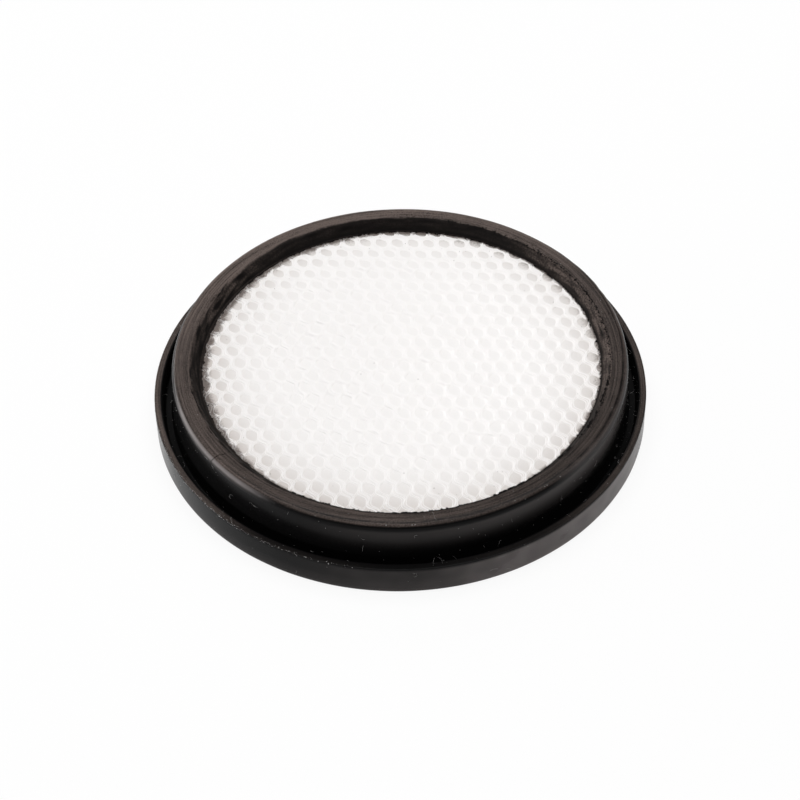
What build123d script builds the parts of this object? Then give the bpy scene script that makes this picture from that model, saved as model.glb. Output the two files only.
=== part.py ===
from build123d import *
import os
from math import ceil, floor, hypot, radians, sin, sqrt, tan

# Round vacuum cleaner filter. A soft cast frame with a thin sealing lip holds, from the dusty side
# down, an open knitted net, a flat felt sheet and a pleated filter sheet.
# Sizes are in millimetres. The origin is the middle of the bottom face, and +Z points up through the net.

# Frame, outside
flange_diameter = 90.0
frame_height = 13.0
lip_height = 6.0
lip_thickness = 1.4
lip_root_thickness = 1.7
channel_floor_width = 1.4
channel_floor_height = 2.8
ring_lean = 0.7
crown_width = 3.4

# Frame, inside
mouth_width = 1.5
net_recess = 2.2
grip_width = 1.7
ledge_thickness = 1.6

# Frame, rounded corners
bottom_round = 0.6
lip_edge_round = 0.25
crown_outer_round = 1.0
crown_inner_round = 1.2

# Filter pack: radial room in the frame's pocket, and the three layers
pack_clearance = 0.15
net_thickness = 0.6
felt_thickness = 1.0
media_thickness = 0.45
pleat_pitch = 3.2
fold_width = 0.9

# Net: one drawn cell stands for four cells of the knitted net, at the same share of open area
net_pitch = 6.06
net_row_spacing = 5.88
net_strand_width = 2.2
net_turn = -1.7

# Places that follow from the sizes above
flange_radius = flange_diameter / 2
channel_outer = flange_radius - lip_root_thickness
channel_inner = channel_outer - channel_floor_width
crown_outer = channel_inner - ring_lean
crown_inner = crown_outer - crown_width
opening_radius = crown_inner - mouth_width
pocket_radius = opening_radius + grip_width
pack_radius = pocket_radius - pack_clearance
net_top = frame_height - net_recess
felt_top = net_top - net_thickness
media_top = felt_top - felt_thickness
media_bottom = ledge_thickness


def round_off(corners):
    """Points of a closed outline, each corner turned over its own radius in one or two flats."""
    points = []
    for index, (radius, height, corner_round, flats) in enumerate(corners):
        corner = Vector(radius, height)
        if corner_round == 0:
            points.append(corner)
            continue
        back = (Vector(*corners[index - 1][:2]) - corner).normalized()
        ahead = (Vector(*corners[(index + 1) % len(corners)][:2]) - corner).normalized()
        half_angle = radians(back.get_angle(ahead)) / 2
        setback = corner_round / tan(half_angle)
        points.append(corner + back * setback)
        if flats == 2:
            points.append(corner + (back + ahead).normalized() * corner_round * (1 / sin(half_angle) - 1))
        points.append(corner + ahead * setback)
    return points


def make_seal_frame():
    """One cast ring: sealing lip, channel, raised crown, and a pocket that holds the pack's edge."""
    corners = [
        (opening_radius, 0, 0, 0),
        (flange_radius, 0, bottom_round, 1),
        (flange_radius, lip_height, lip_edge_round, 1),
        (flange_radius - lip_thickness, lip_height, lip_edge_round, 1),
        (channel_outer, channel_floor_height, 0, 0),
        (channel_inner, channel_floor_height, 0, 0),
        (crown_outer, frame_height, crown_outer_round, 2),
        (crown_inner, frame_height, crown_inner_round, 2),
        (opening_radius, net_top, 0, 0),
        (pocket_radius, net_top, 0, 0),
        (pocket_radius, ledge_thickness, 0, 0),
        (opening_radius, ledge_thickness, 0, 0),
    ]
    outline = Polyline(*round_off(corners), close=True)
    return revolve(make_face(Plane.XZ * outline), Axis.Z)


def make_front_net():
    """Thin wall with hexagonal gaps in staggered rows, solid at the rim that the frame grips."""
    gap_width = net_pitch - net_strand_width
    gap = RegularPolygon(gap_width / 2, 6, major_radius=False, rotation=30)
    reach = pack_radius - net_strand_width / 2 - gap_width / sqrt(3)
    rows = floor(reach / net_row_spacing)
    columns = ceil(reach / net_pitch)
    gaps = []
    for row in range(-rows, rows + 1):
        for column in range(-columns, columns + 1):
            x = (column + (row % 2) / 2) * net_pitch
            y = row * net_row_spacing
            if hypot(x, y) <= reach:
                gaps.append(Pos(x, y) * gap)
    face = Circle(pack_radius) - gaps
    return Pos(0, 0, felt_top) * Rot(0, 0, net_turn) * extrude(face, net_thickness)


def make_felt_layer():
    """Flat round of non-woven felt under the net."""
    return Pos(0, 0, media_top) * extrude(Circle(pack_radius), felt_thickness)


def make_pleated_media():
    """One sheet folded into upright pleats along Y, with narrow flat folds, cut to the round pocket."""
    pleats = floor(2 * pack_radius / pleat_pitch)
    half_pitch = pleat_pitch / 2

    # Middle line of the sheet: how far a flank leans and drops from one fold to the next
    flank_lean = half_pitch - fold_width
    flank_drop = media_top - media_bottom - media_thickness
    flank_length = hypot(flank_lean, flank_drop)

    # Both faces keep the sheet's thickness, so a fold is wider outside than inside
    corner_shift = media_thickness / 2 * flank_drop / (flank_length + flank_lean)
    outside = fold_width / 2 + corner_shift
    inside = fold_width / 2 - corner_shift
    upper = []
    lower = []
    for fold in range(2 * pleats + 1):
        x = (fold - pleats) * half_pitch
        if fold % 2:
            upper += [(x - outside, media_top), (x + outside, media_top)]
            lower += [(x - inside, media_top - media_thickness), (x + inside, media_top - media_thickness)]
        else:
            upper += [(x - inside, media_bottom + media_thickness), (x + inside, media_bottom + media_thickness)]
            lower += [(x - outside, media_bottom), (x + outside, media_bottom)]
    outline = Polyline(*upper, *lower[::-1], close=True)
    sheet = extrude(make_face(Plane.XZ * outline), pack_radius, both=True)
    round_pack = Pos(0, 0, media_bottom) * extrude(Circle(pack_radius), media_top - media_bottom)
    return sheet & round_pack


pieces = {
    "seal_frame": make_seal_frame(),
    "front_net": make_front_net(),
    "felt_layer": make_felt_layer(),
    "pleated_media": make_pleated_media(),
}
os.makedirs("parts", exist_ok=True)
for node, solid in pieces.items():
    export_step(solid, f"parts/{node}.step")
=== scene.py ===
from bisect import bisect
from math import atan2, ceil, cos, degrees, hypot, pi, radians, sin, sqrt, tan, tau
from random import Random

import bmesh
import bpy
from mathutils import Matrix, Vector, noise


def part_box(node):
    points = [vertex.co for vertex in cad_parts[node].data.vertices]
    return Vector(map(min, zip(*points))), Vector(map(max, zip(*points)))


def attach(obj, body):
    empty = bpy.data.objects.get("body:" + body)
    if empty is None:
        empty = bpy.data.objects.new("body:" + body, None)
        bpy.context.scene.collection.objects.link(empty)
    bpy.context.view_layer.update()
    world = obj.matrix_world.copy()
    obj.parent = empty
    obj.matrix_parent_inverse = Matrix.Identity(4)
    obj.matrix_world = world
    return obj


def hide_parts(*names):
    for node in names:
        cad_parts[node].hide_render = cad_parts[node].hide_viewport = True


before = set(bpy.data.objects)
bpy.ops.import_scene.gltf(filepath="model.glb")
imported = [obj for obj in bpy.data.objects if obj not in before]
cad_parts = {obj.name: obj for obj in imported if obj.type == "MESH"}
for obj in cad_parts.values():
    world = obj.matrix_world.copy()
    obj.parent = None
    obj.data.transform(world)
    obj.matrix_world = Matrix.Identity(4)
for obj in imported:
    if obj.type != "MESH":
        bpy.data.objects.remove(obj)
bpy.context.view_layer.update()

# Round vacuum cleaner filter, net side up. Lengths are in millimetres until a piece becomes a mesh.
# Angles go round the frame from the right (+X) over the back (+Y), in degrees.
mm = 0.001
body = "root"


def reach(node):
    """Outer radius, lowest and highest point of a round node."""
    low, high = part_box(node)
    return high.x / mm, low.z / mm, high.z / mm


flange_radius, floor_height, frame_height = reach("seal_frame")
pack_radius, felt_bottom, felt_top = reach("felt_layer")
net_top = reach("front_net")[2]
media_bottom, media_top = reach("pleated_media")[1:]

# Frame section, in the same sizes as the solid
lip_height = 6.0
lip_thickness = 1.4
lip_root_thickness = 1.7
channel_floor_width = 1.4
channel_floor_height = 2.8
ring_lean = 0.7
crown_width = 3.4
mouth_width = 1.5
pocket_clearance = 0.15
channel_outer = flange_radius - lip_root_thickness
channel_inner = channel_outer - channel_floor_width
crown_outer = channel_inner - ring_lean
crown_inner = crown_outer - crown_width
opening_radius = crown_inner - mouth_width
pocket_radius = pack_radius + pocket_clearance

# Net: steps from hole to hole, across the strands and along them, the middle of one hole, and how many
# steps reach past the pack's circle
net_across = Vector((2.993, -0.163))
net_along = Vector((-1.432, 3.118))
net_slant = net_across + net_along
net_phase = Vector((-0.622, 3.010))
net_rows = 20
net_columns = 26

# A hole is a leaning oval: the ways of its length and its width, and half of each
hole_way = Vector((0.58, -0.815))
hole_side = Vector((0.815, 0.58))
hole_length = 1.24
hole_width = 0.69

# Yarn: how the strands swing sideways, and the thickness of their filaments and of the laps between them
strand_side = Vector((net_along.y, -net_along.x)).normalized()
strand_swing = 0.42
filament_radius = 0.075
lap_radius = 0.045

# Heights in the net: the felt's face in the holes, the strands' backs and the filaments on them
fleece_top = net_top - 0.28
strand_top = fleece_top + 0.07
join_top = fleece_top + 0.05
filament_top = fleece_top + 0.065
lap_top = fleece_top + 0.045

# Pleats
pleat_pitch = 3.2
media_thickness = 0.45


def bumps(x, y, z, size, seed):
    """Smooth noise from about -1 to 1, with bumps of the given size."""
    return noise.noise(Vector((x / size + seed, y / size - seed, z / size + 0.37 * seed)))


def fade(value, start, end):
    """0 before start, 1 after end and a smooth rise between them; start may be the larger."""
    share = min(max((value - start) / (end - start), 0.0), 1.0)
    return share * share * (3 - 2 * share)


def angle_gap(first, second):
    """Smallest turn between two angles, in degrees."""
    return abs((first - second + 180) % 360 - 180)


def polar(radius, angle, height):
    """Point at a radius, an angle in degrees and a height."""
    return Vector((radius * cos(radians(angle)), radius * sin(radians(angle)), height))


# Shader maths and nodes


class Value:
    """A socket of a finish; arithmetic on it adds Math nodes."""

    def __init__(self, finish, socket):
        self.finish = finish
        self.socket = socket

    def work(self, operation, first, second):
        return self.finish.node("ShaderNodeMath", {"operation": operation}, {0: first, 1: second})

    def __add__(self, other):
        return self.work("ADD", self, other)

    def __radd__(self, other):
        return self.work("ADD", other, self)

    def __sub__(self, other):
        return self.work("SUBTRACT", self, other)

    def __rsub__(self, other):
        return self.work("SUBTRACT", other, self)

    def __mul__(self, other):
        return self.work("MULTIPLY", self, other)

    def __rmul__(self, other):
        return self.work("MULTIPLY", other, self)

    def larger(self, other):
        return self.work("MAXIMUM", self, other)


class Finish:
    """A procedural material, or the world's light, built from nodes."""

    def __init__(self, owner):
        owner.use_nodes = True
        self.owner = owner
        self.tree = owner.node_tree
        self.tree.nodes.clear()

    def node(self, kind, settings, sockets, output=0):
        """Adds a node, sets it up, fills or links its sockets and gives one of its outputs."""
        made = self.tree.nodes.new(kind)
        for name, setting in settings.items():
            setattr(made, name, setting)
        for name, content in sockets.items():
            named = [socket for socket in made.inputs if socket.identifier == name]
            socket = named[0] if named else made.inputs[name]
            if isinstance(content, Value):
                self.tree.links.new(content.socket, socket)
            else:
                socket.default_value = content
        return Value(self, made.outputs[output]) if made.outputs else None

    def place(self):
        """Place on the object, in millimetres."""
        spot = self.node("ShaderNodeTexCoord", {}, {}, "Object")
        sockets = {0: spot, "Scale": 1 / mm}
        return self.node("ShaderNodeVectorMath", {"operation": "SCALE"}, sockets)

    def stretched(self, place, scale):
        """The place with its three axes scaled."""
        return self.node("ShaderNodeVectorMath", {"operation": "MULTIPLY"}, {0: place, 1: scale})

    def grain(self, place, size, detail=2.0, roughness=0.5):
        """Noise from 0 to 1 with features of about the given size in millimetres."""
        sockets = {"Vector": place, "Scale": 1 / size, "Detail": detail, "Roughness": roughness}
        return self.node("ShaderNodeTexNoise", {}, sockets, "Fac")

    def from_axis(self, place):
        """Distance from the upright axis."""
        flat = self.stretched(place, (1.0, 1.0, 0.0))
        return self.node("ShaderNodeVectorMath", {"operation": "LENGTH"}, {0: flat}, "Value")

    def streaks(self, place, length, width):
        """Noise from 0 to 1 in streaks that run round the frame."""
        flat = self.stretched(place, (1.0, 1.0, 0.0))
        way = self.node("ShaderNodeVectorMath", {"operation": "NORMALIZE"}, {0: flat})
        sockets = {0: way, "Scale": crown_inner / length}
        along = self.node("ShaderNodeVectorMath", {"operation": "SCALE"}, sockets)
        across = self.node("ShaderNodeCombineXYZ", {}, {"Z": self.from_axis(place) * (1 / width)})
        spot = self.node("ShaderNodeVectorMath", {"operation": "ADD"}, {0: along, 1: across})
        return self.grain(spot, 1.0)

    def rise(self, value, start, end):
        """0 at start, 1 at end and a smooth step between them."""
        settings = {"interpolation_type": "SMOOTHSTEP"}
        sockets = {"Value": value, "From Min": start, "From Max": end}
        return self.node("ShaderNodeMapRange", settings, sockets)

    def amount(self, name):
        """A number kept on the mesh for each of its points."""
        return self.node("ShaderNodeAttribute", {"attribute_name": name}, {}, "Fac")

    def mix(self, share, first, second):
        """From the first colour to the second as the share goes from 0 to 1."""
        colours = {"Factor_Float": share, "A_Color": first, "B_Color": second}
        return self.node("ShaderNodeMix", {"data_type": "RGBA"}, colours, 2)

    def bump(self, height, distance):
        """A normal tilted by a height; distance is the height of 1, in millimetres."""
        return self.node("ShaderNodeBump", {}, {"Height": height, "Distance": distance * mm})

    def surface(self, sockets, other=None, share=0.0):
        """Ends the material in a principled shader, or in a mix of two by the second one's share."""
        shader = self.node("ShaderNodeBsdfPrincipled", {}, sockets)
        if other:
            second = self.node("ShaderNodeBsdfPrincipled", {}, other)
            shader = self.node("ShaderNodeMixShader", {}, {"Fac": share, 1: shader, 2: second})
        self.node("ShaderNodeOutputMaterial", {}, {"Surface": shader})
        return self.owner


def tone(red, green, blue):
    """A colour with full opacity."""
    return (red, green, blue, 1.0)


def soft_rubber():
    """Black cast rubber: satin skin, a film of brown dust, a grey haze that also paints sheen and highlight,
    and torn matt places.
    """
    finish = Finish(bpy.data.materials.new("soft_rubber"))
    place = finish.place()
    dust = finish.amount("dust")
    haze_and_sheen = finish.amount("haze_and_sheen")
    torn = finish.amount("torn")
    cloud = finish.grain(place, 2.2, 4.0, 0.6)
    crumb = finish.grain(place, 0.32, 3.0, 0.65)
    speck = finish.rise(finish.grain(place, 0.16, 1.0), 0.72, 0.82) * finish.rise(cloud, 0.35, 0.7)
    fine = finish.grain(place, 0.20, 2.0)
    streak = finish.streaks(place, 18.0, 0.30)
    film = dust * (0.6 * cloud + 2.6 * streak + 3.0 * fine - 2.1)
    skin = finish.mix(film, tone(0.0040, 0.0039, 0.0040), tone(0.125, 0.098, 0.087))
    # Grey haze over the skin: partly dust, partly painted sheen and highlight on the walls and the crown's
    # outer edge
    with_haze_and_sheen = finish.mix(haze_and_sheen, skin, tone(0.24, 0.215, 0.21))
    flecked = finish.mix(speck * 0.12, with_haze_and_sheen, tone(0.30, 0.28, 0.27))
    crumbs = (0.3 + 0.7 * finish.rise(crumb, 0.40, 0.66)) * dust
    ragged = finish.mix(crumbs, tone(0.0045, 0.0036, 0.0033), tone(0.095, 0.074, 0.065))
    smooth_skin = {
        "Base Color": flecked,
        "Roughness": 0.17 + 0.06 * cloud + 0.28 * dust + 0.15 * haze_and_sheen,
        "IOR": 1.15,
        "Normal": finish.bump(crumb, 0.010),
    }
    torn_skin = {
        "Base Color": ragged,
        "Roughness": 0.7 + 0.25 * crumb,
        "IOR": 1.20,
        "Normal": finish.bump(crumb, 0.06),
    }
    return finish.surface(smooth_skin, torn_skin, torn)


def rim_dirt(finish, place, clean):
    """The colour of net or felt with its dust, its grey smear near the rim and the black of the casting; on
    the felt the dust and the smear also carry painted shade from the frame.
    """
    grain = finish.grain(place, 0.30, 3.0, 0.6)
    # Dust towards the rim, on the felt with painted shade of the frame
    dusty_and_shaded = finish.mix(finish.amount("soil_and_shade"), clean, tone(0.60, 0.555, 0.525))
    # Grey smear near the casting, on the felt also painted shade in the last holes
    smear_and_shade = finish.rise(finish.amount("smear_and_shade") + 0.9 * (grain - 0.5), 0.1, 0.9)
    smeared_and_shaded = finish.mix(smear_and_shade, dusty_and_shaded, tone(0.150, 0.124, 0.111))
    black = finish.rise(finish.amount("stain") + 0.9 * (grain - 0.5), 0.40, 0.60)
    return finish.mix(black, smeared_and_shaded, tone(0.011, 0.009, 0.008))


def white_net(name, dull, bright):
    """White knitted yarn between two tones, dirty towards the rim."""
    finish = Finish(bpy.data.materials.new(name))
    place = finish.place()
    fibre = finish.grain(place, 0.12, 2.0)
    clean = finish.mix(fibre, dull, bright)
    sockets = {
        "Base Color": rim_dirt(finish, place, clean),
        "Roughness": 0.45 + 0.2 * fibre,
        "IOR": 1.40,
        "Normal": finish.bump(fibre, 0.012),
    }
    return finish.surface(sockets)


def white_felt():
    """White non-woven felt of fine crossing fibres, dirty and painted with shade towards its edge."""
    finish = Finish(bpy.data.materials.new("white_felt"))
    place = finish.place()
    fleece = finish.grain(place, 0.35, 5.0, 0.7)
    lengthwise = finish.grain(finish.stretched(place, (1.0, 0.12, 1.0)), 0.16, 3.0)
    crosswise = finish.grain(finish.stretched(place, (0.12, 1.0, 1.0)), 0.16, 3.0)
    fibres = lengthwise.larger(crosswise)
    clean = finish.mix(fibres, tone(0.902, 0.882, 0.870), tone(0.935, 0.916, 0.904))
    sockets = {
        "Base Color": rim_dirt(finish, place, clean),
        "Roughness": 0.8 + 0.15 * fleece,
        "Sheen Weight": 0.15,
        "Normal": finish.bump(fibres + fleece, 0.05),
    }
    return finish.surface(sockets)


def filter_sheet():
    """Off-white fibrous sheet, a little darker along its folds."""
    finish = Finish(bpy.data.materials.new("filter_sheet"))
    place = finish.place()
    fold = finish.amount("fold")
    fleece = finish.grain(place, 0.5, 5.0, 0.7)
    fibres = finish.grain(finish.stretched(place, (1.0, 0.15, 1.0)), 0.2, 3.0)
    clean = finish.mix(fleece, tone(0.78, 0.765, 0.735), tone(0.87, 0.862, 0.840))
    sockets = {
        "Base Color": finish.mix(fold * 0.35, clean, tone(0.62, 0.60, 0.565)),
        "Roughness": 0.82 + 0.12 * fibres,
        "Normal": finish.bump(fibres + fleece, 0.04),
    }
    return finish.surface(sockets)


def loose_dirt(name, fleck_size, dark, light):
    """Matt dust or crumbs, flecked between two tones."""
    finish = Finish(bpy.data.materials.new(name))
    fleck = finish.grain(finish.place(), fleck_size)
    sockets = {"Base Color": finish.mix(fleck, dark, light), "Roughness": 0.7 + 0.2 * fleck}
    return finish.surface(sockets)


# Mesh pieces


def add_object(name, data):
    """A new object in the scene."""
    made = bpy.data.objects.new(name, data)
    bpy.context.scene.collection.objects.link(made)
    return made


class Shape:
    """Points and faces of a piece as it grows, with numbers kept for each point."""

    def __init__(self, *amounts):
        self.points = []
        self.faces = []
        self.amounts = {name: [] for name in amounts}

    def point(self, place, **amounts):
        """Adds a point and gives its number."""
        self.points.append(place)
        for name, values in self.amounts.items():
            values.append(amounts.get(name, 0.0))
        return len(self.points) - 1

    def strip(self, first, second, closed=False):
        """Faces between two rows of point numbers."""
        count = len(first)
        for step in range(count if closed else count - 1):
            after = (step + 1) % count
            self.faces.append((first[step], first[after], second[after], second[step]))

    def skin(self, rows, closed=False):
        """Faces between each row of point numbers and the next."""
        for first, second in zip(rows, rows[1:]):
            self.strip(first, second, closed)

    def piece(self, name, finish, weld=0.0):
        """The finished mesh as a piece that moves with the body."""
        mesh = bpy.data.meshes.new(name)
        mesh.from_pydata([place * mm for place in self.points], [], self.faces)
        for amount, values in self.amounts.items():
            mesh.attributes.new(amount, "FLOAT", "POINT").data.foreach_set("value", values)
        work = bmesh.new()
        work.from_mesh(mesh)
        if weld:
            bmesh.ops.remove_doubles(work, verts=work.verts, dist=weld * mm)
        bmesh.ops.recalc_face_normals(work, faces=work.faces)
        work.to_mesh(mesh)
        work.free()
        mesh.shade_smooth()
        mesh.materials.append(finish)
        made = add_object(name, mesh)
        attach(made, body)
        return made


def add_tube(shape, path, radius, sides, amounts=None):
    """A thin tube along a path, with closed ends."""
    rows = []
    for index, place in enumerate(path):
        ahead = path[min(index + 1, len(path) - 1)] - path[max(index - 1, 0)]
        side = ahead.cross(Vector((0, 0, 1))).normalized()
        rise = side.cross(ahead).normalized()
        taper = 0.35 if index in (0, len(path) - 1) else 1.0
        row = []
        for corner in range(sides):
            turn = tau * corner / sides + pi / 4
            offset = (side * cos(turn) + rise * sin(turn)) * radius * taper
            numbers = amounts(place) if amounts else {}
            row.append(shape.point(place + offset, **numbers))
        rows.append(row)
    shape.skin(rows, closed=True)
    shape.faces.append(tuple(rows[0]))
    shape.faces.append(tuple(reversed(rows[-1])))


def add_crumb(shape, centre, size, draw, **amounts):
    """A small uneven lump."""
    rows = []
    for height in (-0.55, 0.15, 0.7):
        width = sqrt(1 - height * height) * size
        row = []
        for corner in range(5):
            turn = tau * corner / 5 + height
            spread = width * draw.uniform(0.7, 1.25)
            offset = Vector((spread * cos(turn), spread * sin(turn), height * size))
            row.append(shape.point(centre + offset, **amounts))
        rows.append(row)
    shape.skin(rows, closed=True)
    shape.faces.append(tuple(rows[0]))
    shape.faces.append(tuple(rows[-1]))


# Cast frame

# Hairline crack over the crown, from its outer edge inwards: angle and radius of each turn
crack_course = [
    (216.10, 41.20),
    (216.51, 40.84),
    (216.60, 40.34),
    (216.59, 39.70),
    (217.25, 39.06),
    (217.05, 38.43),
    (216.96, 37.97),
]
crack_middle = 216.8
crack_depth = 0.25
crack_half_width = 0.09
crack_columns = (0.0, 0.045, 0.09, 0.14, 0.21, 0.3)

# Heights below which the crack no longer winds, and from which it straightens out downwards
crack_wind_end = 12.2
crack_straighten = 12.4

# Radii of the lines round the crown: ragged edge at the mouth, torn inner edge, fine groove, lumpy outer
# edge and the outer edge's painted highlight
ragged_line = 37.7
torn_line = 38.0
groove_line = 40.34
lumpy_line = 40.9
highlight_line = 41.0


def frame_section():
    """Outline of the frame as (radius, height, run), each run named for what it is on the frame."""
    # Corners: radius, height, rounding, the run that starts there and the spacing of its points
    corners = [
        (opening_radius, 0.0, 0.2, "underside", 1.6),
        (flange_radius, 0.0, 0.6, "lip_wall", 0.6),
        (flange_radius, lip_height, 0.12, "lip_top", 0.3),
        (flange_radius - lip_thickness, lip_height, 0.25, "lip_back", 0.8),
        (channel_outer, channel_floor_height, 0.3, "channel", 0.5),
        (channel_inner, channel_floor_height, 0.3, "wall", 0.6),
        (crown_outer, frame_height, 1.3, "crown", 0.15),
        (crown_inner, frame_height, 1.2, "bevel", 0.22),
        (opening_radius, net_top, 0.0, "flash", 9.0),
        (pocket_radius, net_top, 0.0, "pocket", 3.0),
        (pocket_radius, media_bottom, 0.0, "pocket", 3.0),
        (opening_radius, media_bottom, 0.0, "ledge", 0.8),
    ]
    turns = []
    for index, (radius, height, corner_round, run, step) in enumerate(corners):
        corner = Vector((radius, height))
        if corner_round == 0:
            turns.append([corner])
            continue
        back = (Vector(corners[index - 1][:2]) - corner).normalized()
        ahead = (Vector(corners[(index + 1) % len(corners)][:2]) - corner).normalized()
        half_angle = back.angle(ahead) / 2
        centre = corner + (back + ahead).normalized() * corner_round / sin(half_angle)
        start = corner + back * corner_round / tan(half_angle)
        end = corner + ahead * corner_round / tan(half_angle)
        count = max(4, ceil(corner_round / 0.10))
        arc = []
        for part in range(count + 1):
            chord = start.lerp(end, part / count) - centre
            arc.append(centre + chord.normalized() * corner_round)
        turns.append(arc)
    outline = []
    for index, (radius, height, corner_round, run, step) in enumerate(corners):
        outline += [(point.x, point.y, run) for point in turns[index]]
        start = turns[index][-1]
        end = turns[(index + 1) % len(corners)][0]
        if run == "flash":
            continue
        count = ceil((end - start).length / step)
        for part in range(1, count):
            point = start.lerp(end, part / count)
            outline.append((point.x, point.y, run))
    return outline


def section_normals(outline):
    """Outward direction of the section at each of its points."""
    normals = []
    for index in range(len(outline)):
        before = Vector(outline[index - 1][:2])
        after = Vector(outline[(index + 1) % len(outline)][:2])
        along = (after - before).normalized()
        normals.append(Vector((along.y, -along.x)))
    return normals


def flash_width(angle):
    """How far the casting has crept over the net: widest at the left, and ragged."""
    wide = round_table(net_flash, angle)
    along = radians(angle) * opening_radius
    ragged = 0.5 * bumps(along, 0, 0, 2.4, 1.3) + 0.5 * bumps(along, 0, 0, 0.75, 3.1)
    return max(0.02, wide * (1 + ragged) + 0.10 * bumps(along, 0, 0, 0.3, 7.7) * fade(wide, 0.0, 0.3))


def crack_angle(radius, height):
    """Angle of the crack where it crosses the section; it straightens out away from the crown."""
    radii = [point[1] for point in crack_course]
    if radius <= radii[-1]:
        turn = crack_course[-1][0] - crack_middle
        return crack_middle + turn * (1 - fade(radii[-1] - radius, 0, 1.5))
    if radius >= radii[0] or height < crack_wind_end:
        turn = crack_course[0][0] - crack_middle
        return crack_middle + turn * (1 - fade(crack_straighten - height, 0, 4.0))
    for (angle, outer), (next_angle, inner) in zip(crack_course, crack_course[1:]):
        if inner <= radius <= outer:
            return angle + (next_angle - angle) * (outer - radius) / (outer - inner)
    return crack_middle


def frame_columns():
    """Angles of the frame's sections, close together at the crack."""
    spacing = 0.5
    angles = [column * spacing for column in range(int(360 / spacing))]
    near = [degrees(offset / crown_inner) for offset in crack_columns]
    angles = [angle for angle in angles if angle_gap(angle, crack_middle) > near[-1] + 0.15]
    angles += [crack_middle + offset for offset in near]
    angles += [crack_middle - offset for offset in near[1:]]
    return sorted(angles)


def groove_share(angle, radius):
    """How deep a place lies in the fine groove that runs round the crown's outer edge, front and right."""
    along = radians(angle) * crown_outer
    line = groove_line + 0.10 * bumps(along, 0, 0, 6.0, 14.0)
    present = fade(angle_gap(angle, 312), 88, 66) * (0.75 + 0.5 * bumps(along, 0, 0, 2.0, 15.0))
    return present * fade(abs(radius - line), 0.24, 0.05)


def frame_unevenness(angle, radius, height, run):
    """How far the cast surface stands out from its section: waves, pits, dents, lumps and streaks."""
    x, y, z = polar(radius, angle, height)
    out = 0.022 * bumps(x, y, z, 6.0, 2.0)
    if run in ("crown", "bevel"):
        out += 0.010 * bumps(x, y, z, 0.9, 5.0)
    if run == "bevel":
        along = radians(angle) * radius
        out += 0.08 * bumps(along, height * 9, 0, 4.0, 8.0) + 0.06 * bumps(along, height * 3, 0, 0.55, 9.0)
    # Torn inner edge of the crown at the right, towards the back
    torn = fade(angle_gap(angle, 33), 36, 22) * fade(abs(radius - torn_line), 0.95, 0.25)
    if run in ("crown", "bevel") and torn > 0:
        out -= 0.25 * torn * max(0.0, bumps(x, y, z, 1.1, 4.0) + 0.12)
        out -= 0.20 * torn * max(0.0, bumps(x, y, z, 0.45, 6.0))
    # Soft dents across the crown's band there
    dented = fade(angle_gap(angle, 24), 24, 10)
    if run == "crown" and dented > 0:
        out -= 0.10 * dented * max(0.0, bumps(x, y, z, 2.6, 11.0) + 0.1)
    # Ragged inner edge all round
    if run in ("crown", "bevel"):
        edge = fade(abs(radius - ragged_line), 0.6, 0.1)
        out -= 0.16 * edge * max(0.0, bumps(x, y, z, 0.7, 13.0))
    # Lumpy outer edge at the front left
    lumpy = fade(angle_gap(angle, 231), 16, 8) * fade(abs(radius - lumpy_line), 0.5, 0.1)
    if run == "crown" and lumpy > 0:
        out += 0.06 * lumpy * bumps(x, y, z, 0.6, 17.0)
    if run == "crown":
        out -= 0.08 * groove_share(angle, radius)
    # Nicks along the lip
    if run == "lip_top":
        out -= 0.07 * max(0.0, bumps(x, y, z, 0.6, 19.0) - 0.25)
    return out


# Tables go round the frame in steps of 30 degrees, from the right. On the casting: where the smooth crown
# ends and the torn slope starts, how dusty crown, lip and torn slope are, and how much grey haze with
# painted sheen the lip's outer wall and the ring's wall carry
torn_edge = (37.85, 37.8, 38.0, 38.05, 38.2, 37.7, 37.8, 37.9, 38.1, 38.4, 38.25, 38.05)
crown_dust = (0.36, 0.41, 0.75, 0.88, 0.97, 0.74, 0.48, 0.47, 0.38, 0.46, 0.32, 0.28)
lip_dust = (0.44, 0.30, 0.18, 0.18, 0.26, 0.40, 0.55, 0.54, 0.04, 0.0, 0.05, 0.26)
torn_dust = (0.95, 0.95, 0.08, 0.08, 0.10, 0.50, 0.18, 0.25, 0.10, 0.05, 0.08, 0.2)
lip_haze_and_sheen = (0.05, 0.1, 0.2, 0.1, 0.2, 0.15, 0.0, 0.0, 0.0, 0.12, 0.56, 0.66)
wall_haze_and_sheen = (0.05, 0.0, 0.0, 0.0, 0.0, 0.0, 0.0, 0.0, 0.0, 0.12, 0.22, 0.32)

# On the net and the felt: how far the casting has crept in, how far in the net is smeared and the felt is
# given painted shade, and how dusty the two are at the rim, the felt's dust with painted shade of the frame
net_flash = (0.04, 0.02, 0.02, 0.05, 0.08, 0.32, 0.48, 0.48, 0.12, 0.28, 0.32, 0.10)
net_smear = (0.50, 0.36, 0.48, 0.75, 1.00, 1.55, 2.00, 1.40, 0.45, 0.35, 0.45, 0.42)
felt_shade = (2.4, 2.2, 2.8, 3.2, 3.0, 2.6, 2.2, 1.6, 0.8, 0.6, 0.8, 1.5)
net_soil = (0.66, 0.42, 0.14, 0.06, 0.14, 0.46, 0.66, 0.74, 0.84, 0.84, 0.78, 0.72)
felt_soil_and_shade = (0.85, 0.78, 0.66, 0.60, 0.76, 1.06, 1.35, 1.28, 1.05, 0.95, 0.88, 0.86)

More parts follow.
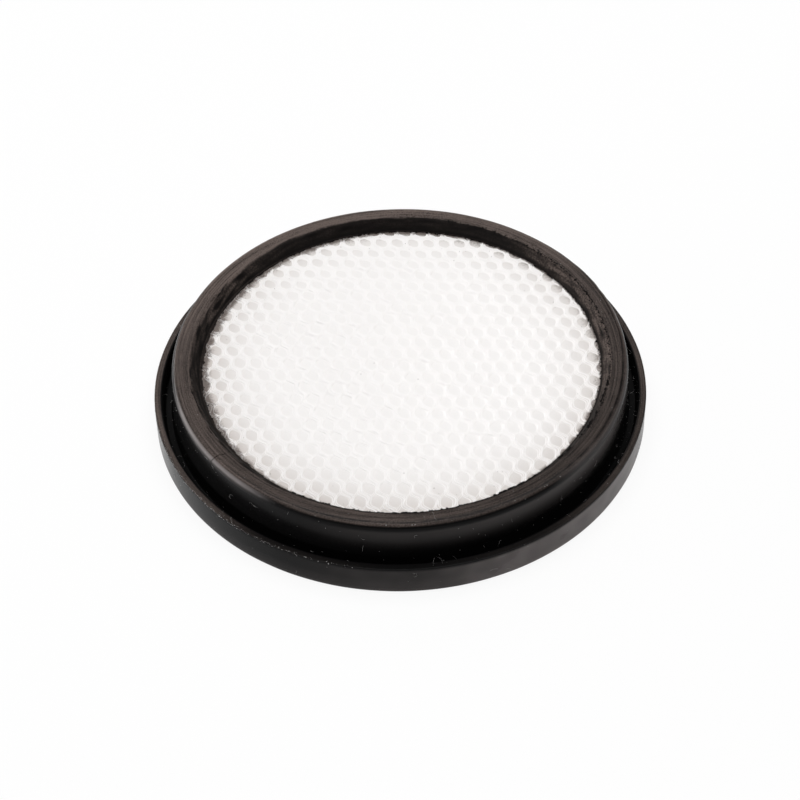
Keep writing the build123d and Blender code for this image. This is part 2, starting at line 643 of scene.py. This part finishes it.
# The soft ring is not quite round: how far its upper part stands out and up, and how much wider its mouth is
ring_sway = (0.18, 0.30, 0.08, 0.0, 0.05, 0.04, 0.06, 0.0, 0.0, 0.0, 0.0, 0.08)
ring_rise = (0.0, 0.02, -0.02, -0.06, -0.02, 0.0, 0.0, 0.0, 0.0, 0.0, 0.0, 0.0)
mouth_gain = (0.20, 0.30, 0.38, 0.25, 0.12, 0.0, 0.0, 0.0, 0.14, 0.62, 0.24, 0.06)


def round_table(table, angle):
    """Value of a table that goes round the frame, smooth between its steps."""
    step = 360 / len(table)
    place = angle % 360 / step
    first = int(place) % len(table)
    return table[first] + (table[(first + 1) % len(table)] - table[first]) * fade(place % 1, 0, 1)


def opening_at(angle):
    """Radius of the frame's opening at an angle."""
    return opening_radius + round_table(ring_sway, angle) + round_table(mouth_gain, angle)


def ring_place(angle, radius, height, run):
    """A place on the section of an even ring, moved to where the soft ring has it."""
    upper = fade(height, 5.0, 12.0) if run in ("wall", "crown", "bevel", "flash") else 0.0
    wider = fade(radius, 38.4, 37.0) if run in ("bevel", "flash") else 0.0
    radius += upper * round_table(ring_sway, angle) + wider * round_table(mouth_gain, angle)
    return polar(radius, angle, max(height + upper * round_table(ring_rise, angle), floor_height))


def front_share(angle):
    """1 along the front, where the torn edge is a narrow line, and 0 at the back and the sides."""
    return fade(angle_gap(angle, 288), 75, 45)


def calm_share(angle):
    """How even the torn edge is: most at the front, a little less at the right and the back."""
    return max(0.6 * front_share(angle), 0.55 * fade(angle_gap(angle, 60), 95, 70))


def torn_radius(angle):
    """Radius of the torn slope's ragged upper edge at an angle."""
    along = radians(angle) * crown_inner
    ragged = 0.40 * bumps(along, 0, 0, 3.0, 71.0) + 0.25 * bumps(along, 0, 0, 0.7, 73.0)
    return round_table(torn_edge, angle) + ragged * (1 - calm_share(angle))


def frame_marks(angle, radius, height, run, facing_up):
    """Shares of brown dust, grey haze with painted sheen and highlight, and torn surface at a place on the
    frame.
    """
    if run == "flash":
        return {"torn": 1.0, "dust": 0.3}
    if run not in ("lip_wall", "lip_top", "wall", "crown", "bevel"):
        return {}
    along = radians(angle) * radius
    # The ring's wall: grey haze that paints a highlight towards its top, most at the front right
    if run == "wall":
        return {"haze_and_sheen": round_table(wall_haze_and_sheen, angle) * fade(height, 6.5, 11.5)}
    if run == "lip_wall":
        # The lip's wall: a painted reflection of the floor along its foot, and grey haze with painted sheen,
        # most at the front right
        foot_sheen = 0.35 * fade(height, 0.8, 0.1) + 0.06 * fade(height, 3.5, 1.0)
        clouds = 1 + 0.3 * bumps(along, height, 0, 3.0, 79.0)
        return {"haze_and_sheen": foot_sheen + clouds * round_table(lip_haze_and_sheen, angle)}
    # Dust holds less far down the crown's outer round at the left and the front
    bare = 0.17 * fade(angle_gap(angle, 190), 55, 35) + 0.09 * front_share(angle)
    settled = fade(facing_up, 0.45 + bare, 0.70 + bare)
    if run == "lip_top":
        return {"dust": settled * round_table(lip_dust, angle)}
    # A painted highlight along the crown's outer edge, strongest at the left towards the front, weaker at
    # the front right
    edge_highlight = 0.22 * fade(abs(radius - highlight_line), 0.45, 0.1) * fade(angle_gap(angle, 333), 26, 14)
    edge_highlight += 0.60 * fade(abs(radius - highlight_line), 0.35, 0.1) * fade(angle_gap(angle, 213), 26, 12)
    edge = torn_radius(angle)
    flow = bumps(along, radius * 9, 0, 3.5, 81.0) * (1 - calm_share(angle))
    torn = fade(radius + 0.5 * flow, edge + 0.30, edge - 0.30)
    long_streaks = 0.30 * bumps(along, radius * 14, 0, 7.0, 75.0)
    short_streaks = 0.15 * bumps(along, radius * 6, 0, 1.5, 77.0)
    film = settled * (1 + long_streaks + short_streaks) * round_table(crown_dust, angle)
    # Most of the brown film is left out of the fine groove, so that it shows dark: painted shade
    film *= 1 - 0.85 * groove_share(angle, radius)
    # The slope's foot at the net is bare and black
    smears = max(0.0, 1 + 3.5 * flow) * (0.15 + 0.85 * fade(radius - opening_radius, 0.15, 0.6))
    dust = film + (smears * round_table(torn_dust, angle) - film) * torn
    return {"dust": dust, "torn": torn, "haze_and_sheen": edge_highlight if run == "crown" else 0.0}


def make_cast_frame():
    """The whole casting as one lathe mesh: lip, channel, ring, crown, and the flash on the net's edge."""
    outline = frame_section()
    normals = section_normals(outline)
    shape = Shape("dust", "haze_and_sheen", "torn")
    plain_runs = ("flash", "pocket", "ledge", "underside")
    flash_steps = 6
    rings = []
    columns = frame_columns()
    for (radius, height, run), normal in zip(outline, normals):
        ring = []
        for column in columns:
            nearness = fade(angle_gap(column, crack_middle), 2.4, 0.4)
            angle = column + (crack_angle(radius, height) - crack_middle) * nearness
            out = 0.0 if run in plain_runs else frame_unevenness(angle, radius, height, run)
            marks = frame_marks(angle, radius, height, run, normal.y)
            if run == "crown":
                offset = radians(column - crack_middle) * crown_inner
                split = fade(radius, 37.75, 38.2) * max(0.0, 1 - abs(offset) / crack_half_width)
                out -= crack_depth * split
                marks["torn"] = max(marks["torn"], split)
                marks["dust"] *= 1 - split
            place = ring_place(angle, radius + normal.x * out, height + normal.y * out, run)
            ring.append(shape.point(place, **marks))
        rings.append(ring)
        if run == "flash":
            for step in range(1, flash_steps + 1):
                share = step / flash_steps
                ring = []
                for angle in columns:
                    width = flash_width(angle)
                    creep = opening_at(angle) - width * share
                    x, y, z = polar(creep, angle, 0)
                    slope = fade(width * share, 0.35, 0.0)
                    lumps = 0.06 * bumps(x, y, 0, 0.5, 23.0)
                    drop = 0.10 if step == flash_steps else 0.0
                    level = fleece_top + 0.06 + lumps - drop + (net_top - fleece_top) * slope
                    ring.append(shape.point(polar(creep, angle, level), torn=1.0, dust=0.3))
                rings.append(ring)
    shape.skin(rings + rings[:1], closed=True)
    made = shape.piece("cast_frame", frame_rubber)
    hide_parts("seal_frame")


# Knitted net


def net_warp(x, y):
    """A place on the even lattice, pulled aside by the net's slight unevenness."""
    pull_x = 0.16 * bumps(x, y, 0, 9.0, 31.0) + 0.07 * bumps(x, y, 0, 2.8, 33.0)
    pull_y = 0.16 * bumps(x, y, 0, 9.0, 35.0) + 0.07 * bumps(x, y, 0, 2.8, 37.0)
    return x + pull_x, y + pull_y


net_amounts = ("stain", "smear_and_shade", "soil_and_shade")


def rim_share(radius):
    """0 in the middle of the net, rising steeply to 1 at the frame's opening."""
    return (radius / opening_radius) ** 7


def rim_marks(place):
    """How far the casting, the smear near it and the dust, on the felt with painted shade, have coloured the
    net or the felt at a place.
    """
    radius = hypot(place.x, place.y)
    angle = degrees(atan2(place.y, place.x)) % 360
    ragged = 0.5 * bumps(place.x, place.y, 0, 0.8, 41.0) + 0.4 * bumps(place.x, place.y, 0, 2.5, 43.0)
    inside = opening_at(angle) - radius
    flash = round_table(net_flash, angle) * (1 + ragged)
    smear_and_shade = round_table(net_smear, angle) * (1 + ragged)
    return {
        "stain": fade(inside, 1.5 * flash, 0.4 * flash - 0.1),
        "smear_and_shade": fade(inside, 1.3 * smear_and_shade, 0.4 * smear_and_shade),
        "soil_and_shade": rim_share(radius) * round_table(net_soil, angle),
    }


def filament_marks(place):
    """The same for single filaments, which the smear and the dust have coloured less; keeping them this
    clean near the rim also paints light against the frame's shade.
    """
    marks = rim_marks(place)
    marks["smear_and_shade"] *= 0.7
    marks["soil_and_shade"] *= 0.1
    return marks


def holes_of_net():
    """Middles of all the holes whose cells reach into the pack's circle."""
    cell_reach = 2.1
    centres = []
    for row in range(-net_rows, net_rows + 1):
        for column in range(-net_columns, net_columns + 1):
            centre = net_phase + net_along * row + net_across * column
            if centre.length < pack_radius + cell_reach:
                centres.append(centre)
    return centres


def hole_squeeze(centre):
    """Share of its length from front to back that a hole keeps; at the back the holes are pulled flatter."""
    return 1 - 0.28 * fade(centre.y, 0, 28)


def circle_centre(first, second):
    """Point as far from the origin as from both given points."""
    cross = 2 * (first.x * second.y - first.y * second.x)
    first_square = first.length_squared
    second_square = second.length_squared
    x = (second.y * first_square - first.y * second_square) / cross
    y = (first.x * second_square - second.x * first_square) / cross
    return Vector((x, y))


def make_net_sheet():
    """The net as a sheet with a rounded hole in each cell; strands stand higher than the joins."""
    neighbours = [net_across, net_slant, net_along, -net_across, -net_slant, -net_along]
    tops = [strand_top, strand_top, join_top, strand_top, strand_top, join_top]
    join_soil = 0.03
    middle = fleece_top - 0.05
    low = fleece_top - 0.08
    corners = [circle_centre(neighbours[index - 1], neighbours[index]) for index in range(6)]
    rim = []
    for index in range(6):
        corner = corners[index]
        after = corners[(index + 1) % 6]
        for share in (0.0, 1 / 3, 2 / 3):
            between = tops[index] if share else max(tops[index], tops[index - 1])
            soil_and_shade = join_soil if between == join_top else 0.0
            rim.append((corner.lerp(after, share), between, soil_and_shade))
    inner = []
    for outer, top, soil_and_shade in rim:
        way = outer.normalized()
        inner.append(way / hypot(way.dot(hole_way) / hole_length, way.dot(hole_side) / hole_width))
    # Rings from a hole's edge to its cell's edge: share of the way and share of the rise
    levels = [(0.2, 0.32), (0.5, 0.78), (1.0, 1.0)]
    shape = Shape(*net_amounts)

    def add(x, y, z, soil_and_shade=0.0):
        x, y = net_warp(x, y)
        radius = hypot(x, y)
        if radius > pack_radius:
            x, y, z = x * pack_radius / radius, y * pack_radius / radius, middle
        place = Vector((x, y, z))
        marks = rim_marks(place)
        marks["soil_and_shade"] += soil_and_shade
        return shape.point(place, **marks)

    for centre in holes_of_net():
        squeeze = hole_squeeze(centre)
        holes = [Vector((hole.x, hole.y * squeeze)) for hole in inner]
        edge_ring = [add(centre.x + hole.x, centre.y + hole.y, middle) for hole in holes]
        for top_side in (True, False):
            last = edge_ring
            for share, rise in levels:
                ring = []
                for (outer, top, soil_and_shade), hole in zip(rim, holes):
                    spot = centre + hole.lerp(outer, share)
                    height = middle + ((top if top_side else low) - middle) * rise
                    ring.append(add(spot.x, spot.y, height, soil_and_shade))
                shape.strip(last, ring, closed=True)
                last = ring
    clamped = [hypot(place.x, place.y) > pack_radius - 1e-4 for place in shape.points]
    shape.faces = [face for face in shape.faces if not all(clamped[number] for number in face)]
    # The cut net is the pack's circle less its holes
    spots = zip(inner, inner[1:] + inner[:1])
    hole_area = sum(first.x * second.y - first.y * second.x for first, second in spots) / 2
    cut_area = pi * pack_radius ** 2
    for centre in holes_of_net():
        if centre.length < pack_radius:
            cut_area -= hole_area * hole_squeeze(centre)
    return shape.piece("net_sheet", net_ground, weld=0.004), cut_area


def inside_runs(path):
    """The stretches of a path that lie inside the pack's circle."""
    run = []
    for place in path:
        if hypot(place.x, place.y) < pack_radius - 0.3:
            run.append(place)
            continue
        if len(run) > 3:
            yield run
        run = []
    if len(run) > 3:
        yield run


def strand_spot(column, row):
    """Middle line of a strand: it swings from side to side between the holes."""
    middle = net_phase + net_across * (column + 0.5) + net_along * row
    return middle + strand_side * strand_swing * sin(tau * row)


def make_net_filaments():
    """Single filaments along every strand, weaving a little past each other."""
    draw = Random(5)
    shape = Shape(*net_amounts)
    offsets = (-0.42, -0.14, 0.14, 0.42)
    steps_per_cell = 8
    for column in range(-net_columns - 1, net_columns + 1):
        for offset in offsets:
            phase = draw.uniform(0, tau)
            wander = draw.uniform(0.05, 0.15)
            height = draw.uniform(-0.02, 0.02)
            path = []
            for step in range(-net_rows * steps_per_cell, net_rows * steps_per_cell + 1):
                row = step / steps_per_cell
                weave = offset * (1.1 - 0.15 * cos(tau * row)) + wander * sin(tau * row * 0.5 + phase)
                spot = strand_spot(column, row) + strand_side * weave
                x, y = net_warp(spot.x, spot.y)
                crown = filament_top - 0.12 * weave * weave
                path.append(Vector((x, y, crown + height + 0.02 * sin(tau * row * 0.7 + 2 * phase))))
            for run in inside_runs(path):
                add_tube(shape, run, filament_radius, 4, filament_marks)
    return shape.piece("net_filaments", net_yarn_highlit)


def make_net_laps():
    """Filaments that pass from strand to strand at each join between the holes."""
    draw = Random(9)
    shape = Shape(*net_amounts)
    steps = 10
    # Where a join meets the strand at its left and the strand at its right, in steps along the strands
    left_meet = 0.3
    right_meet = 0.7
    for column in range(-net_columns - 1, net_columns + 1):
        for row in range(-net_rows, net_rows):
            for slip in (-0.05, 0.05):
                slip += draw.uniform(-0.03, 0.03)
                path = []
                for step in range(steps + 1):
                    along = 0.4 * (2 * step / steps - 1)
                    share = fade(along, -0.26, 0.26)
                    left = strand_spot(column, row + left_meet + along + slip)
                    right = strand_spot(column + 1, row + right_meet + along + slip)
                    spot = left.lerp(right, share)
                    x, y = net_warp(spot.x, spot.y)
                    path.append(Vector((x, y, lap_top + draw.uniform(-0.01, 0.01))))
                for run in inside_runs(path):
                    add_tube(shape, run, lap_radius, 4, filament_marks)
    return shape.piece("net_laps", net_ground)


# Felt and pleats


def make_felt_pad():
    """Flat round of felt with a fleecy top and a soft edge."""
    shape = Shape(*net_amounts)
    columns = 180
    rings = 48
    thickness = felt_top - felt_bottom
    rows = []
    for side, count in (("top", rings), ("bottom", 10)):
        for ring in range(1, count + 1):
            share = ring / count if side == "top" else 1 - (ring - 1) / count
            radius = pack_radius * share
            rounding = 0.25 * thickness * fade(share, 0.985, 1.0)
            row = []
            for column in range(columns):
                angle = 360 * column / columns
                place = polar(radius, angle, felt_bottom + rounding)
                if side == "top":
                    x, y, z = place
                    fleece = 0.02 * bumps(x, y, 0, 0.9, 51.0) + 0.02 * bumps(x, y, 0, 3.5, 52.0)
                    place.z = fleece_top + fleece - rounding
                marks = rim_marks(place)
                # Painted shade on the felt in the last holes next to the frame, and dust with painted shade
                # of the frame towards the rim
                shade = 0.55 * fade(opening_at(angle) - radius, round_table(felt_shade, angle), 0.2)
                marks["smear_and_shade"] = max(marks["smear_and_shade"], shade)
                marks["soil_and_shade"] = rim_share(radius) * round_table(felt_soil_and_shade, angle)
                row.append(shape.point(place, **marks))
            rows.append(row)
    shape.skin(rows, closed=True)
    for row, height in ((rows[0], fleece_top), (rows[-1], felt_bottom)):
        hub = shape.point(Vector((0, 0, height)))
        shape.faces += [(row[index - 1], row[index], hub) for index in range(columns)]
    made = shape.piece("felt_pad", white_felt())
    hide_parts("felt_layer")
    return made


def pleat_course():
    """Middle line of the pleated sheet across X, with round folds and slightly uneven pleats."""
    draw = Random(21)
    pleats = int(2 * pack_radius / pleat_pitch)
    half_thickness = media_thickness / 2
    low = media_bottom + half_thickness
    high = media_top - half_thickness
    fold_round = 0.42
    fold_parts = 6
    course = []
    for fold in range(2 * pleats + 1):
        lean = draw.uniform(-0.12, 0.12) if 0 < fold < 2 * pleats else 0.0
        x = (fold - pleats) * pleat_pitch / 2 + lean
        up = fold % 2 == 1
        centre = high - fold_round if up else low + fold_round
        for part in range(fold_parts + 1):
            turn = pi - pi * part / fold_parts if up else pi + pi * part / fold_parts
            course.append(Vector((x + fold_round * cos(turn), centre + fold_round * sin(turn))))
    return course


def make_pleated_sheet():
    """One folded sheet: its two faces, a thickness apart, cut to the round pocket."""
    course = pleat_course()
    limit = pack_radius - 0.05
    rows_along = 26
    shape = Shape("fold")
    faces = {1: [], -1: []}
    for index, spot in enumerate(course):
        before = course[max(index - 1, 0)]
        after = course[min(index + 1, len(course) - 1)]
        along = (after - before).normalized()
        normal = Vector((-along.y, along.x))
        half_chord = sqrt(max(limit ** 2 - min(abs(spot.x) + 0.3, limit) ** 2, 1.0))
        folded = fade(min(spot.y - media_bottom, media_top - spot.y), 1.2, 0.4)
        for side in (1, -1):
            row = []
            for part in range(rows_along + 1):
                y = half_chord * (2 * part / rows_along - 1)
                sway = 0.10 * bumps(spot.x, y, 0, 9.0, 61.0) * (1 - folded)
                crush = 0.05 * bumps(spot.x, y, spot.y, 2.5, 63.0) * (1 - folded)
                place = spot + normal * (side * media_thickness / 2 + crush)
                row.append(shape.point(Vector((place.x + sway, y, place.y)), fold=folded))
            faces[side].append(row)
    for side in (1, -1):
        shape.skin(faces[side])
    for top, bottom in ((faces[1][0], faces[-1][0]), (faces[1][-1], faces[-1][-1])):
        shape.strip(top, bottom)
    for end in (0, -1):
        shape.strip([row[end] for row in faces[1]], [row[end] for row in faces[-1]])
    made = shape.piece("pleated_sheet", filter_sheet())
    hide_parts("pleated_media")
    2 * limit * mm


# Lint and grit


class FrameWalk:
    """Places on the frame's outside by angle and by distance along its section from the lip's foot."""

    def __init__(self):
        self.section = [spot for spot in frame_section() if spot[2] in
                        ("lip_wall", "lip_top", "lip_back", "channel", "wall", "crown", "bevel")]
        self.travel = [0.0]
        for first, second in zip(self.section, self.section[1:]):
            self.travel.append(self.travel[-1] + hypot(second[0] - first[0], second[1] - first[1]))

    def start_of(self, run):
        """Distance at which a run of the section starts."""
        return self.travel[next(index for index, spot in enumerate(self.section) if spot[2] == run)]

    def place(self, angle, travel, lift):
        """Place at an angle and a distance, lifted off the surface."""
        travel = min(max(travel, 0.0), self.travel[-1] - 1e-6)
        index = min(bisect(self.travel, travel) - 1, len(self.section) - 2)
        first = Vector(self.section[index][:2])
        second = Vector(self.section[index + 1][:2])
        share = (travel - self.travel[index]) / (self.travel[index + 1] - self.travel[index])
        spot = first.lerp(second, share)
        along = (second - first).normalized()
        return ring_place(angle, spot.x + along.y * lift, spot.y - along.x * lift, self.section[index][2])


# Single hairs, each as angle, radius and height from point to point
hair_courses = [
    [(276.4, 44.6, 6.05), (276.6, 43.5, 6.12), (276.9, 42.8, 5.8), (277.2, 42.2, 5.6)],
    [(277.6, 42.2, 5.6), (278.1, 42.6, 5.8), (278.5, 43.4, 6.15), (278.5, 44.5, 6.05)],
    [(277.3, 37.9, 12.95), (277.6, 38.8, 13.04), (277.7, 39.7, 13.03), (278.2, 40.6, 12.97)],
    [(8.0, 42.2, 8.4), (7.5, 43.0, 7.4), (7.2, 43.1, 7.1), (6.7, 42.6, 7.3)],
    [(224.3, 43.7, 6.03), (224.4, 44.0, 6.05), (224.4, 44.6, 6.04)],
    [(310.5, 43.7, 6.03), (310.7, 44.1, 6.05), (310.7, 44.6, 6.04)],
    [(161.4, 43.7, 6.03), (161.5, 44.1, 6.05), (161.6, 44.6, 6.04)],
]

# Angles of bright specks on the crown's outer edge
crown_specks = [265.9, 272.1, 272.8, 306.9, 307.6, 311.9]


def make_lint():
    """Short fibres and flecks of dust on the lip, in the channel, on the ring's wall and on the crown."""
    draw = Random(33)
    walk = FrameWalk()
    shape = Shape()
    lip_foot = 1.0
    fibre_steps = 6
    # Runs of the section from one to another, with their numbers of fibres and flecks
    stretches = [
        ("lip_wall", "lip_top", 14, 40),
        ("lip_top", "channel", 50, 110),
        ("channel", "wall", 30, 80),
        ("wall", "crown", 60, 180),
        ("crown", "bevel", 0, 60),
    ]
    for first, last, fibres, flecks in stretches:
        start = max(walk.start_of(first), lip_foot)
        end = walk.start_of(last)
        for number in range(fibres):
            angle = draw.uniform(0, 360)
            travel = draw.uniform(start, end)
            heading = draw.uniform(0, tau)
            bend = draw.uniform(-0.5, 0.5)
            length = draw.uniform(0.4, 2.0)
            path = []
            for step in range(fibre_steps + 1):
                lift = 0.035 + 0.05 * sin(pi * step / fibre_steps)
                path.append(walk.place(angle, travel, lift))
                angle += degrees(length / fibre_steps * cos(heading) / crown_outer)
                travel = min(max(travel + length / fibre_steps * sin(heading), start), end)
                heading += bend + draw.uniform(-0.35, 0.35)
            add_tube(shape, path, draw.uniform(0.008, 0.014), 4)
        for number in range(flecks):
            spot = walk.place(draw.uniform(0, 360), draw.uniform(start, end), 0.02)
            add_crumb(shape, spot, draw.uniform(0.02, 0.05), draw)
    # Specks along the lip's edge at the left, fewer towards the front
    edge = walk.start_of("lip_top")
    for number in range(320):
        angle = draw.triangular(186, 262, 208)
        spot = walk.place(angle, edge + 0.1 + draw.gauss(0, 0.16), 0.01)
        add_crumb(shape, spot, 0.02 + 0.055 * draw.random() ** 2, draw)
    round_edge = walk.start_of("crown") + 1.1
    for angle in crown_specks:
        add_crumb(shape, walk.place(angle, round_edge, 0.03), 0.075, draw)
    for course in hair_courses:
        add_tube(shape, [polar(radius, angle, height) for angle, radius, height in course], 0.009, 4)
    pale_lint = loose_dirt("pale_lint", 0.3, tone(0.30, 0.29, 0.285), tone(0.55, 0.54, 0.53))
    shape.piece("lint", pale_lint)


# Rubber crumbs on the casting's torn edge


def make_rubber_crumbs():
    """Black crumbs along the edge of the casting on the net and along the crown's inner edge."""
    draw = Random(55)
    walk = FrameWalk()
    edge = walk.start_of("bevel")
    shape = Shape("dust", "haze_and_sheen", "torn")
    # Left and back: where the casting that has crept over the net ends, then on the net inside it
    for number in range(190):
        angle = draw.uniform(95, 255)
        radius = opening_at(angle) - round_table(net_flash, angle) * draw.uniform(-0.2, 1.5)
        spot = polar(radius, angle, fleece_top + draw.uniform(0.05, 0.16))
        add_crumb(shape, spot, draw.uniform(0.04, 0.15), draw, torn=1.0)
    for number in range(110):
        angle = draw.uniform(125, 232)
        spot = polar(opening_at(angle) - draw.uniform(0.3, 1.7), angle, fleece_top + 0.12)
        add_crumb(shape, spot, draw.uniform(0.03, 0.07), draw, torn=1.0)
    # Right and back: at the foot of the torn slope, then on the crown's torn edge
    for number in range(650):
        angle = draw.uniform(-40, 150)
        inwards = draw.gauss(0.02, 0.16)
        spot = polar(opening_at(angle) - inwards, angle, fleece_top + 0.12 + 1.4 * max(0.0, -inwards))
        add_crumb(shape, spot, 0.05 + 0.13 * draw.random() ** 2, draw, torn=1.0)
    for number in range(560):
        spot = walk.place(draw.uniform(-30, 75), edge + 0.50 + draw.gauss(0, 0.16), 0.0)
        add_crumb(shape, spot, 0.05 + 0.12 * draw.random() ** 2, draw, torn=1.0)
    # Front: small heaps along the crown's inner edge, several of them at the first five places
    clusters = 4 * [268.6, 270.4, 297.0, 299.5, 302.0] + [draw.uniform(238, 350) for number in range(100)]
    for middle in clusters:
        for number in range(draw.randint(1, 4)):
            spot = walk.place(middle + draw.gauss(0, 0.4), edge + draw.uniform(0.7, 1.05), 0.04)
            add_crumb(shape, spot, 0.07 + 0.18 * draw.random() ** 2, draw, torn=1.0)
    shape.piece("rubber_crumbs", frame_rubber)


# Single dark crumbs on the net: place across and away from the middle
net_grit_spots = [(-4.67, 0.51), (-7.05, -2.25), (3.26, -3.86), (0.33, -26.93), (5.46, -30.62)]


def make_grit():
    """Dark crumbs on the net: a few in the open and more towards the rim."""
    draw = Random(44)
    shape = Shape()
    for x, y in net_grit_spots:
        add_crumb(shape, Vector((x, y, net_top - 0.04)), 0.075, draw)
    for number in range(90):
        radius = opening_radius - 0.3 - abs(draw.gauss(0, 2.6))
        spot = polar(radius, draw.uniform(0, 360), net_top - 0.05)
        add_crumb(shape, spot, draw.uniform(0.03, 0.07), draw)
    dark_grit = loose_dirt("dark_grit", 0.1, tone(0.05, 0.04, 0.034), tone(0.14, 0.115, 0.10))
    shape.piece("grit", dark_grit)


# Stage, light and camera


def make_floor():
    """Pale floor that looks white, in mirrors too, and keeps a faint shadow."""
    mesh = bpy.data.meshes.new("floor")
    half = 3000 * mm
    level = -0.03 * mm
    corners = [(-half, -half, level), (half, -half, level), (half, half, level), (-half, half, level)]
    mesh.from_pydata(corners, [], [(0, 1, 2, 3)])
    floor = add_object("floor", mesh)
    finish = Finish(bpy.data.materials.new("pale_floor"))
    camera_ray = finish.node("ShaderNodeLightPath", {}, {}, "Is Camera Ray")
    mirror_ray = finish.node("ShaderNodeLightPath", {}, {}, "Is Glossy Ray")
    clear_ray = finish.node("ShaderNodeLightPath", {}, {}, "Is Transmission Ray")
    seen = camera_ray.larger(mirror_ray).larger(clear_ray)
    paint = finish.node("ShaderNodeBsdfDiffuse", {}, {"Color": tone(0.90, 0.90, 0.90)})
    glow = finish.node("ShaderNodeEmission", {}, {"Color": tone(1, 1, 1), "Strength": 1.0})
    # A tenth of the paint stays in view, so that the shadow shows
    both = finish.node("ShaderNodeMixShader", {}, {"Fac": seen * 0.9, 1: paint, 2: glow})
    finish.node("ShaderNodeOutputMaterial", {}, {"Surface": both})
    mesh.materials.append(finish.owner)


def make_world():
    """Even, dim light from all round."""
    world = bpy.data.worlds.new("studio")
    bpy.context.scene.world = world
    finish = Finish(world)
    light = finish.node("ShaderNodeBackground", {}, {"Color": tone(1.0, 0.99, 0.98), "Strength": 0.06})
    finish.node("ShaderNodeOutputWorld", {}, {"Surface": light})


def softbox(name, azimuth, elevation, distance, width, height, radiance):
    """A rectangular lamp aimed at the filter; angles are in degrees and lengths in metres."""
    lamp = bpy.data.lights.new(name, "AREA")
    lamp.shape = "RECTANGLE"
    lamp.size = width
    lamp.size_y = height
    # Power that makes the lamp this bright when seen from the filter
    lamp.energy = radiance * pi * width * height
    stand = add_object(name, lamp)
    rise = radians(elevation)
    place = polar(distance * cos(rise), azimuth, distance * sin(rise))
    stand.matrix_world = Matrix.Translation(place) @ place.to_track_quat("Z", "Y").to_matrix().to_4x4()


def make_lights():
    """A broad lamp overhead, a strip behind and a long low strip at the left."""
    softbox("top_softbox", 78, 88, 0.95, 1.2, 1.0, 2.98)
    softbox("back_strip", 95, 37, 0.9, 0.9, 0.22, 1.6)
    softbox("left_strip", 172, 3.2, 0.9, 1.5, 0.08, 26.0)


def make_camera():
    """Camera at the photograph's viewing angle."""
    distance = 448.3
    aim = Vector((-0.0833, 0.0, 1.5576))
    elevation = radians(45.504)
    roll = -0.02217
    forward = Vector((0, cos(elevation), -sin(elevation)))
    right = Vector((1, 0, 0))
    up = right.cross(forward)
    across = right * cos(roll) + up * sin(roll)
    upright = up * cos(roll) - right * sin(roll)
    spot = (aim - forward * distance) * mm
    lens = bpy.data.cameras.new("camera")
    lens.sensor_width = 36
    lens.lens = 109.22
    lens.clip_start = 0.01
    camera = add_object("camera", lens)
    turned = Matrix((across, upright, -forward)).transposed()
    camera.matrix_world = Matrix.Translation(spot) @ turned.to_4x4()
    bpy.context.scene.camera = camera


make_camera()
make_floor()
make_world()
make_lights()
bpy.context.scene.view_settings.view_transform = "Standard"

frame_rubber = soft_rubber()
net_ground = white_net("net_ground", tone(0.940, 0.920, 0.910), tone(0.970, 0.950, 0.941))
# The filaments' yarn is a lighter copy of the net's white, a painted highlight on the strands
net_yarn_highlit = white_net("net_yarn_highlit", tone(0.970, 0.953, 0.946), tone(0.990, 0.975, 0.969))
make_cast_frame()
net_sheet, net_area = make_net_sheet()
net_filaments = make_net_filaments()
net_laps = make_net_laps()
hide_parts("front_net")
felt_pad = make_felt_pad()
make_pleated_sheet()
make_rubber_crumbs()
make_lint()
make_grit()

net_area * mm * mm
